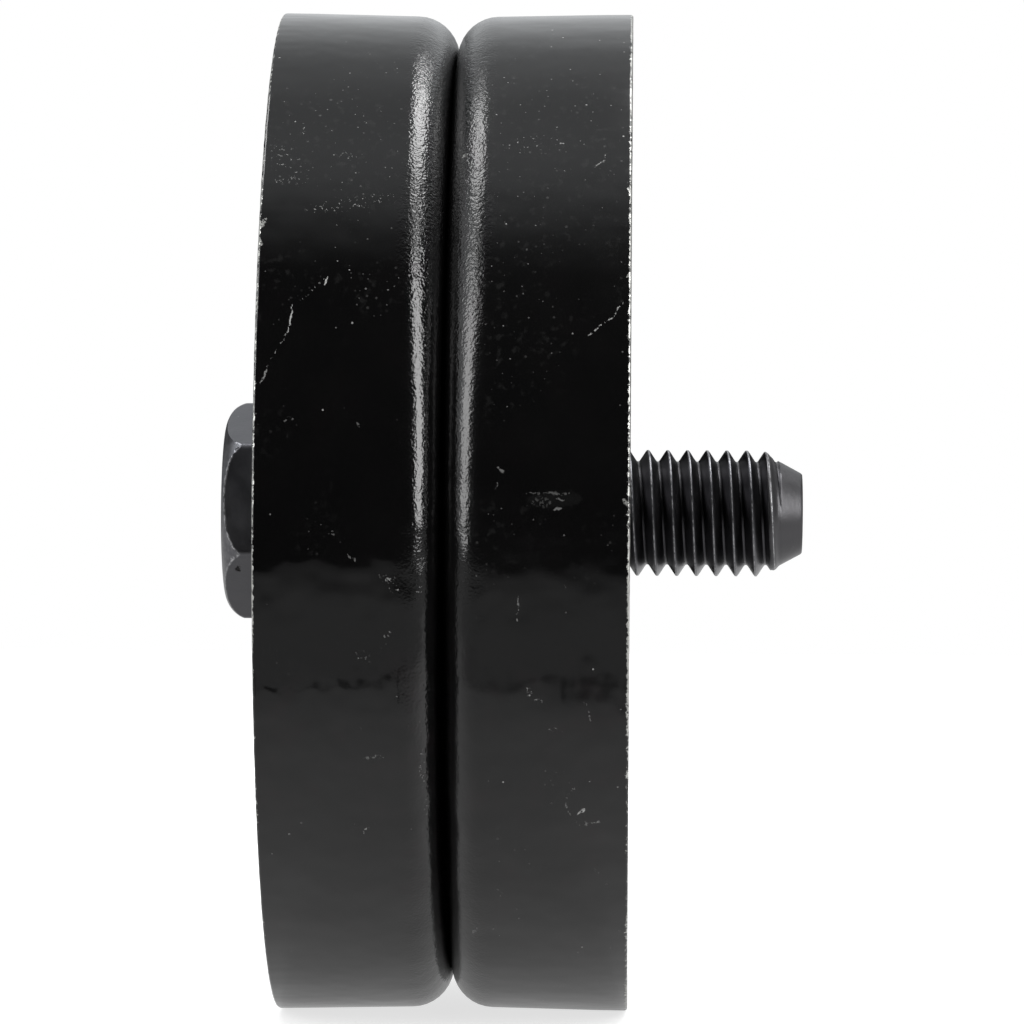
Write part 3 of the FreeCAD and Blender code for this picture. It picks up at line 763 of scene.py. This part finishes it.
def black_bolt_steel(scratch):
    """Black-oxide bolt: dark satin metal, darker towards the bottom, rubbed grey on corners and crests,
    which also paints highlight lines there.
    """
    material, tree, shader, coords = new_material("black_steel", {})
    rubbed_and_highlit, groove, point = [
        add(tree, "ShaderNodeAttribute", attribute_name=name).outputs["Fac"]
        for name in ("rubbed_and_highlit", "groove", "point")
    ]
    # rubbed grey on crests and corners: worn oxide and a painted highlight line
    rubbed_and_highlit = fade(tree, rubbed_and_highlit, 0.4, 0.9)
    cloud = noise(tree, coords, 1.6 * MM, 4.0, 0.6)
    grain = noise(tree, coords, 0.2 * MM, 2.0)
    drawn = wandered(tree, coords, 0.4 * MM, 0.3 * MM)
    nicks = strokes(tree, scratch, drawn, grain, BOLT_NICKS)
    height = axes(tree, coords)[2]
    # the lower half of the bolt is darker than the upper
    darker_below = times(tree, fade(tree, height, 4 * MM, -4 * MM), 0.5)
    colour = tinted(tree, cloud, OXIDE_DARK, OXIDE_LIGHT)
    broken = fade(tree, noise(tree, coords, 0.3 * MM, 3.0, 0.7), 0.34, 0.66)
    share = times(tree, rubbed_and_highlit, broken)
    lint = times(tree, specks(tree, coords, 0.6 * MM, 0.3, 0.1), 0.8)
    for part, tint in (
        (darker_below, OXIDE_DARKER_BELOW), (groove, OXIDE_IN_GROOVE), (point, OXIDE_ON_POINT), (nicks, OXIDE_NICKED),
        (share, OXIDE_RUBBED_AND_HIGHLIT), (lint, OXIDE_LINT),
    ):
        colour = tinted(tree, part, colour, tint)
    tree.links.new(colour, shader.inputs["Base Color"])
    dull = calc(tree, "MAXIMUM", times(tree, point, 0.6), share)
    tree.links.new(times_plus(tree, dull, -0.5, 1), shader.inputs["Metallic"])
    rough = blended(tree, cloud, 0.24, 0.42)
    rough = times_plus(tree, point, 0.06, rough)
    tree.links.new(times_plus(tree, share, 0.13, rough), shader.inputs["Roughness"])
    rise = times(tree, grain, 0.004 * MM)
    rise = times_plus(tree, cloud, 0.02 * MM, rise)
    bumped(tree, shader, times_plus(tree, nicks, -0.08 * MM, rise))
    return material


def worked_steel(name, dark, light, smooth, rough, ring_pitch, ring_depth, grime):
    """Bare or plated steel with turning rings about Y, clouded tone and a little grime."""
    material, tree, shader, coords = new_material(name, {"Metallic": 1.0})
    along = calc(tree, "ADD", off_axis(tree, coords), axes(tree, coords)[1])
    along = times_plus(tree, noise(tree, coords, 3 * MM, 2.0), ring_pitch * 0.6, along)
    rings = calc(tree, "SINE", times(tree, along, FULL_TURN / ring_pitch))
    cloud = noise(tree, coords, 2.2 * MM, 4.0, 0.6)
    soot = fade(tree, noise(tree, coords, 3.1 * MM, 5.0, 0.65), 0.5, 0.68)
    colour = tinted(tree, cloud, dark, light)
    soiled = tinted(tree, times(tree, soot, grime), colour, STEEL_SOOT)
    tree.links.new(soiled, shader.inputs["Base Color"])
    tree.links.new(blended(tree, cloud, smooth, rough), shader.inputs["Roughness"])
    grain = noise(tree, coords, 0.25 * MM, 2.0)
    rise = times(tree, rings, ring_depth)
    bumped(tree, shader, times_plus(tree, grain, 0.002 * MM, rise))
    return material


def seal_rubber():
    """Black moulded rubber: matt, finely pitted, with a dusty bloom."""
    material, tree, shader, coords = new_material("seal_rubber", {"IOR": 1.45})
    pits = noise(tree, coords, 0.12 * MM, 2.0)
    bloom = fade(tree, noise(tree, coords, 2.5 * MM, 4.0, 0.65), 0.45, 0.75)
    colour = tinted(tree, bloom, RUBBER_BLACK, RUBBER_BLOOM)
    lint = times(tree, specks(tree, coords, 1.1 * MM, 0.15, 0.08), 0.6)
    tree.links.new(tinted(tree, lint, colour, RUBBER_LINT), shader.inputs["Base Color"])
    tree.links.new(blended(tree, bloom, 0.48, 0.72), shader.inputs["Roughness"])
    bumped(tree, shader, times(tree, pits, 0.006 * MM))
    return material


def rim_half(name, side, tree, paint):
    """Cup of bent sheet: flared wall, web, collar round the bearing, and the lip that holds it in."""
    slope = math.tan(WALL_FLARE)
    wall_outside = RIM_RADIUS
    wall_inside = wall_outside - SHEET / math.cos(WALL_FLARE)
    collar_outside = BEARING_RADIUS + SHEET
    lip = BEARING_RADIUS - LIP_REACH
    lip_face = BEARING_FACE + SHEET
    section = [
        (lip, BEARING_FACE),
        (BEARING_RADIUS, BEARING_FACE, LIP_BEND),
        (BEARING_RADIUS, 0, COLLAR_BEND + SHEET),
        (wall_outside - RIM_FACE * slope, 0, SHOULDER_RADIUS),
        (wall_outside, RIM_FACE, EDGE_ROUND),
        (wall_inside, RIM_FACE, EDGE_ROUND),
        (wall_inside - (RIM_FACE - SHEET) * slope, SHEET, SHOULDER_RADIUS - SHEET),
        (collar_outside, SHEET, COLLAR_BEND),
        (collar_outside, lip_face, LIP_BEND + SHEET),
        (lip, lip_face),
    ]
    section = [(corner[0], side * corner[1], *corner[2:]) for corner in section]
    piece = grown(name, section_mesh(section), tree, {
        "Segments": RIM_SEGMENTS, "Arc Steps": RIM_ARC_STEPS, "Burr": EDGE_BURR, "Burr Size": BURR_SIZE,
        "Burr From": RIM_FACE - BURR_WIDTH, "Material": paint,
    })
    closed_and_smooth(piece.data)
    return piece


def rivets(tree, ring, plating):
    """Six round-headed rivets through both webs."""
    section = [
        (0, -RIVET_TOP),
        (RIVET_HEAD, -RIVET_TOP, RIVET_ROUND),
        (RIVET_HEAD, -SHEET),
        (RIVET_SHANK, -SHEET),
        (RIVET_SHANK, SHEET),
        (RIVET_HEAD, SHEET),
        (RIVET_HEAD, RIVET_TOP, RIVET_ROUND),
        (0, RIVET_TOP),
    ]
    one = grown("one_rivet", section_mesh(section), tree, {
        "Segments": RIVET_SEGMENTS, "Arc Steps": RIVET_ARC_STEPS, "Burr Size": BURR_SIZE,
        "Burr From": RIM_FACE, "Material": plating,
    })
    closed_and_smooth(one.data)
    piece = grown("round_rivets", one.data, ring, {
        "Count": RIVET_COUNT, "Circle": RIVET_CIRCLE, "Material": plating,
    })
    bpy.data.objects.remove(one)
    return piece


def hex_reach(angle):
    """Distance from the axis to the hexagon, whose corners are slightly rounded."""
    sector = math.radians(60)
    off_corner = abs((angle - HEX_TURN + sector / 2) % sector - sector / 2)
    centre = (HEX_FLAT - HEX_CORNER_ROUND) / math.cos(sector / 2)
    limit = math.atan2(HEX_CORNER_ROUND * 0.5, centre + HEX_CORNER_ROUND * math.cos(sector / 2))
    if off_corner < limit:
        across = centre * math.sin(off_corner)
        return centre * math.cos(off_corner) + math.sqrt(HEX_CORNER_ROUND ** 2 - across ** 2)
    return HEX_FLAT / math.cos(sector / 2 - off_corner)


def crown_drop(radius):
    """How far the head's rounded, crowned top falls below its middle."""
    bend_start = HEAD_BLANK - HEAD_EDGE
    inner = min(radius, bend_start)
    drop = HEAD_CROWN - math.sqrt(HEAD_CROWN ** 2 - inner ** 2)
    outer = max(radius - bend_start, 0)
    return drop + HEAD_EDGE - math.sqrt(HEAD_EDGE ** 2 - outer ** 2)


def edge_wear_and_highlight(height):
    """How much the hexagon's edge is lightened, by rubbed oxide and a painted highlight line: least on the
    upper flats, most in the middle.
    """
    if height > WORN_AND_HIGHLIT_HEIGHT:
        return UPPER_EDGE_WEAR_AND_HIGHLIGHT
    return MIDDLE_EDGE_WEAR_AND_HIGHLIGHT if height > -WORN_AND_HIGHLIT_HEIGHT else LOWER_EDGE_WEAR_AND_HIGHLIGHT


def add_bolt_head(work):
    """Crowned hexagon, conical flange and plain shank, open where the thread takes over."""
    bend_start = HEAD_BLANK - HEAD_EDGE
    cone_slope = (FLANGE_HEIGHT - FLANGE_EDGE) / (FLANGE_RADIUS - HEX_FLAT)
    angles = [HEX_TURN + FULL_TURN * i / BOLT_COLUMNS for i in range(BOLT_COLUMNS)]
    reaches = [hex_reach(angle) for angle in angles]
    # edge lightening along the crown: rubbed oxide plus a painted highlight line
    wear_and_highlight = [edge_wear_and_highlight(reach * math.cos(angle)) for angle, reach in zip(angles, reaches)]

    def cone_y(radius):
        return BOLT_SEAT - FLANGE_HEIGHT + (radius - HEX_FLAT) * cone_slope

    rows = []
    steps = [bend_start * i / CROWN_ROWS for i in range(CROWN_ROWS + 1)]
    for i in range(EDGE_ROWS):
        steps.append(bend_start + HEAD_EDGE * math.sin(EDGE_ROW_ANGLE * (i + 1)))
    for step in steps:
        row = []
        for reach, worn in zip(reaches, wear_and_highlight):
            radius = min(step, reach)
            row.append((radius, BOLT_TOP + crown_drop(radius), worn if step >= reach else CROWN_WEAR))
        rows.append(row)
    for share in FLANK_ROWS:
        row = []
        for reach, worn in zip(reaches, wear_and_highlight):
            upper = BOLT_TOP + crown_drop(reach)
            y = upper + (cone_y(reach) - upper) * share
            row.append((reach, y, worn * max(0, 1 - share / FLANK_ROWS[1])))
        rows.append(row)
    cone_end = FLANGE_RADIUS - 0.4 * FLANGE_ROUND
    for i in range(CONE_ROWS):
        share = (i + 1) / CONE_ROWS
        row = []
        for reach in reaches:
            radius = reach + (cone_end - reach) * share
            row.append((radius, cone_y(radius), FLANGE_WEAR * share ** 4))
        rows.append(row)
    for radius, y, rubbed_and_highlit in [
        (FLANGE_RADIUS - 0.12 * FLANGE_ROUND, cone_y(cone_end) + 0.3 * FLANGE_ROUND, 1),
        (FLANGE_RADIUS, cone_y(cone_end) + 0.75 * FLANGE_ROUND, 1),
        (FLANGE_RADIUS, BOLT_SEAT - SEAT_ROUND, 0.5),
        (FLANGE_RADIUS - SEAT_ROUND, BOLT_SEAT, 0.6),
        (SHANK_RADIUS + SHANK_ROUND, BOLT_SEAT, 0),
        (SHANK_RADIUS, BOLT_SEAT + SHANK_ROUND, 0),
        (SHANK_RADIUS, BRACKET_SEAT - THREAD_PITCH, 0),
    ]:
        rows.append([(radius, y, rubbed_and_highlit)] * BOLT_COLUMNS)

    layer = work.verts.layers.float["rubbed_and_highlit"]
    rings = []
    for row in rows:
        ring = []
        for angle, (radius, y, rubbed_and_highlit) in zip(angles, row):
            corner = work.verts.new((radius * math.sin(angle), y, radius * math.cos(angle)))
            corner[layer] = rubbed_and_highlit
            ring.append(corner)
        rings.append(ring)
    for near, far in zip(rings, rings[1:]):
        for j in range(BOLT_COLUMNS):
            work.faces.new((near[j - 1], near[j], far[j], far[j - 1]))


def threaded_bolt(tree, steel):
    """Flange bolt with its rolled thread, as one closed mesh."""
    start = BRACKET_SEAT - THREAD_PITCH
    turns_back = math.ceil((CREST_AT_TOP - start) / THREAD_PITCH + 1 + HEX_TURN / FULL_TURN)
    base = CREST_AT_TOP - turns_back * THREAD_PITCH
    rows = ROWS_PER_TURN * math.ceil((BOLT_TIP - base) / THREAD_PITCH) + 2
    piece = grown("threaded_bolt", bpy.data.meshes.new("start"), tree, {
        "Columns": BOLT_COLUMNS, "Rows per Turn": ROWS_PER_TURN, "Rows": rows,
        "First Angle": HEX_TURN, "Base": base, "Pitch": THREAD_PITCH,
        "Crest Radius": THREAD_CREST, "Root Radius": THREAD_ROOT,
        "Crest Width": CREST_WIDTH, "Root Width": ROOT_WIDTH, "Shank Radius": SHANK_RADIUS,
        "Start": start, "Run In": THREAD_PITCH, "Tip": BOLT_TIP, "Point Radius": POINT_RADIUS,
        "Point Slope": (THREAD_CREST - POINT_RADIUS) / POINT_LENGTH,
        "Tip Chamfer": TIP_CHAMFER, "Last Crest": LAST_CREST, "Material": steel,
    })
    whole = bmesh.new()
    whole.from_mesh(piece.data)
    add_bolt_head(whole)
    whole.to_mesh(piece.data)
    whole.free()
    closed_and_smooth(piece.data)
    return piece


def camera_aim():
    """Camera level with the axis, in the plane of the rear edge, turned slightly towards the head."""
    camera = bpy.data.cameras.new("camera")
    camera.sensor_width = SENSOR
    camera.lens = SENSOR * FOCAL_PIXELS / PICTURE_SIZE
    camera.clip_start = CLIP_START
    camera.clip_end = CLIP_END
    stand = bpy.data.objects.new("camera", camera)
    bpy.context.scene.collection.objects.link(stand)
    look = Vector((-FOCAL_PIXELS, -AIM_LEFT_PIXELS, 0))
    turn = look.to_track_quat("-Z", "Y").to_matrix().to_4x4()
    place = Matrix.Translation((CAMERA_DISTANCE, RIM_FACE, 0))
    stand.matrix_world = place @ turn @ Matrix.Rotation(CAMERA_ROLL, 4, "Z")
    bpy.context.scene.camera = stand


def softbox(name, place, width, length, radiance, along):
    """Area lamp of even brightness, aimed at the pulley; the camera doesn't see it."""
    lamp = bpy.data.lights.new(name, "AREA")
    lamp.shape = "RECTANGLE"
    lamp.size = width
    lamp.size_y = length
    lamp.energy = radiance * math.pi * width * length
    stand = bpy.data.objects.new(name, lamp)
    bpy.context.scene.collection.objects.link(stand)
    back = Vector(place).normalized()
    across = Vector(along).cross(back).normalized()
    upright = back.cross(across)
    turn = Matrix((across, upright, back)).transposed().to_4x4()
    stand.matrix_world = Matrix.Translation(place) @ turn
    stand.visible_camera = False


def lights():
    """Soft studio light: tall softboxes beside the camera, others above the cups, and a pale room."""
    for lamp in SOFTBOXES:
        softbox(*lamp)

    world = bpy.data.worlds.new("studio")
    bpy.context.scene.world = world
    world.use_nodes = True
    tree = world.node_tree
    background = tree.nodes["Background"]
    direction = add(tree, "ShaderNodeTexCoord").outputs["Generated"]
    x, y, z = axes(tree, direction)

    # ceiling above and behind, lower towards its sides
    above_behind = fade(tree, calc(tree, "SUBTRACT", z, x), 0.25, 0.94)
    to_right = calc(tree, "MAXIMUM", y, 0)
    to_left = calc(tree, "MAXIMUM", times_plus(tree, y, -1, -0.05), 0)
    lifted = times_plus(tree, to_left, -1.2, z)
    lifted = times_plus(tree, to_right, -0.82, lifted)
    between = fade(tree, lifted, -0.06, 0.22)
    strength = times_plus(tree, fade(tree, x, 0.05, -0.3), -0.15, CEILING_LEVEL)
    strength = times_plus(tree, fade(tree, x, -0.58, -0.9), 0.27, strength)
    dome = times(tree, times(tree, above_behind, between), strength)

    # wall on the left, and the room below it
    on_left = times(tree, fade(tree, y, -0.45, -0.7), fade(tree, z, -0.1, 0.45))
    beside = times(tree, fade(tree, x, -0.5, 0.0), fade(tree, x, 0.6, 0.3))
    level = times_plus(tree, times(tree, on_left, beside), WALL_LEVEL, dome)
    low = fade(tree, calc(tree, "ABSOLUTE", z), 0.4, 0.1)
    low = times(tree, low, fade(tree, x, 0.5, 0.2))
    low = times(tree, low, fade(tree, y, -0.4, -0.8))
    level = times_plus(tree, low, LOW_LEVEL, level)
    level = calc(tree, "ADD", level, LEAST_LEVEL)
    seen = add(tree, "ShaderNodeLightPath").outputs["Is Camera Ray"]
    tree.links.new(calc(tree, "MAXIMUM", level, seen), background.inputs["Strength"])
    tree.links.new(tinted(tree, seen, ROOM_TINT, WHITE), background.inputs["Color"])


def floor():
    """Pale sheet under the pulley; the camera sees it white but for the pulley's shadow, and the gloss sees
    painted shade, painted light and a painted dark band on it.
    """
    level = cad_box[0][2] - FLOOR_GAP
    mesh = bpy.data.meshes.new("floor")
    corners = [
        (FLOOR_BACK, -FLOOR_SIDE, level),
        (FLOOR_FRONT, -FLOOR_SIDE, level),
        (FLOOR_FRONT, FLOOR_SIDE, level),
        (FLOOR_BACK, FLOOR_SIDE, level),
    ]
    mesh.from_pydata(corners, [], [(0, 1, 2, 3)])
    sheet = bpy.data.objects.new("floor", mesh)
    bpy.context.scene.collection.objects.link(sheet)
    material, tree, shader, coords = new_material("pale_floor", {"Roughness": 0.9})
    path = add(tree, "ShaderNodeLightPath").outputs
    away = add(tree, "ShaderNodeVectorMath", {0: coords}, operation="LENGTH").outputs["Value"]
    split = axes(tree, coords)

    # painted reflection: a dark winding band on the sheet, which only the gloss sees and the cups' lower
    # halves reflect
    wander = noise(tree, stretched(tree, coords, (0.5, 1, 1)), 3.2 * MM, 2.0)
    wander = calc(tree, "SUBTRACT", wander, 0.5)
    strayed = calc(tree, "SUBTRACT", split[0], PAINTED_BAND)
    strayed = times_plus(tree, wander, PAINTED_BAND_STRAY, strayed)
    from_painted_band = calc(tree, "ABSOLUTE", strayed)
    swing = times_plus(tree, split[1], FULL_TURN / PAINTED_BAND_REPEAT, PAINTED_BAND_PHASE)
    ragged = noise(tree, stretched(tree, coords, (0, 1, 0)), 3 * MM, 0.0)
    ragged = times_plus(tree, calc(tree, "COSINE", swing), 0.3, ragged)
    thick = fade(tree, ragged, 0.36, 0.72)
    half_width = times_plus(tree, thick, PAINTED_BAND_WIDTH / 2, 0.5 * MM)
    painted_band = fade(tree, from_painted_band, half_width, times(tree, half_width, 0.7))

    # painted shade for the gloss: it sees the sheet darker all over, and darker still towards the camera
    front = times_plus(tree, fade(tree, split[0], 0.08, 0.14), 0.36, 0.46)
    shade = times(tree, path["Is Glossy Ray"], calc(tree, "MAXIMUM", painted_band, front))
    tone = noise(tree, coords, 0.05, 3.0)
    sheet_colour = tinted(tree, tone, FLOOR_DARK, FLOOR_LIGHT)
    tree.links.new(tinted(tree, shade, sheet_colour, PAINTED_BAND_BLACK), shader.inputs["Base Color"])
    for_camera = times_plus(tree, fade(tree, away, 0.06, 0.3), 0.28, 0.72)
    # painted light for the gloss: the sheet glows in reflections as it nears the pulley and its shadow, a
    # little less right beneath it, more beside the rear cup
    under = times_plus(tree, fade(tree, split[0], 0.003, 0.018), 0.13, 0.44)
    under = times_plus(tree, fade(tree, split[1], 0.012, 0.032), 0.3, under)
    for_gloss = times(tree, fade(tree, split[0], 0.068, 0.02), under)
    for_gloss = times(tree, for_gloss, calc(tree, "SUBTRACT", 1, painted_band))
    glow = times(tree, path["Is Camera Ray"], for_camera)
    glow = times_plus(tree, path["Is Glossy Ray"], for_gloss, glow)
    shader.inputs["Emission Color"].default_value = (*WHITE, 1)
    tree.links.new(glow, shader.inputs["Emission Strength"])
    mesh.materials.append(material)


# Pieces
scratch = scratch_group()
paint = black_paint(scratch)
bolt_steel = black_bolt_steel(scratch)
zinc = worked_steel(
    "zinc_steel", dark=(0.46, 0.46, 0.45), light=(0.66, 0.66, 0.64), smooth=0.26, rough=0.44,
    ring_pitch=0.5 * MM, ring_depth=0.0006 * MM, grime=0.35,
)
bearing_steel = worked_steel(
    "bearing_steel", dark=(0.52, 0.52, 0.51), light=(0.66, 0.66, 0.65), smooth=0.12, rough=0.26,
    ring_pitch=0.16 * MM, ring_depth=0.0005 * MM, grime=0.2,
)
ball_steel = worked_steel(
    "ball_steel", dark=(0.66, 0.66, 0.66), light=(0.74, 0.74, 0.74), smooth=0.04, rough=0.12,
    ring_pitch=2.0 * MM, ring_depth=0.00002 * MM, grime=0.1,
)
cage_steel = worked_steel(
    "cage_steel", dark=(0.40, 0.39, 0.37), light=(0.56, 0.55, 0.52), smooth=0.28, rough=0.46,
    ring_pitch=0.6 * MM, ring_depth=0.0008 * MM, grime=0.3,
)
bush_steel = worked_steel(
    "bush_steel", dark=(0.42, 0.42, 0.42), light=(0.58, 0.58, 0.57), smooth=0.22, rough=0.40,
    ring_pitch=0.22 * MM, ring_depth=0.0022 * MM, grime=0.3,
)
rubber = seal_rubber()

turning = turning_tree()
for name, side in (("front_rim_half", -1), ("rear_rim_half", 1)):
    cup = rim_half("painted_" + name, side, turning, paint)
    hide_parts(name)
    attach(cup, "pulley")

web_rivets = rivets(turning, ring_tree(), zinc)
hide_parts("web_rivets")
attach(web_rivets, "pulley")

bolt = threaded_bolt(thread_tree(), bolt_steel)
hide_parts("mounting_bolt")
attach(bolt, "mounting")

finishes = {
    "bearing_outer_ring": bearing_steel, "bearing_inner_ring": bearing_steel,
    "front_seal": rubber, "rear_seal": rubber,
    "cage_front_half": cage_steel, "cage_rear_half": cage_steel, "cage_rivets": cage_steel,
    "front_bush": bush_steel, "rear_bush": bush_steel, "dust_shield": zinc,
}
for i in range(1, 9):
    finishes[f"ball_{i}"] = ball_steel
for name, finish in finishes.items():
    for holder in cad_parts[name].material_slots:
        holder.material = finish

camera_aim()
lights()
floor()
bpy.context.scene.view_settings.view_transform = "Standard"
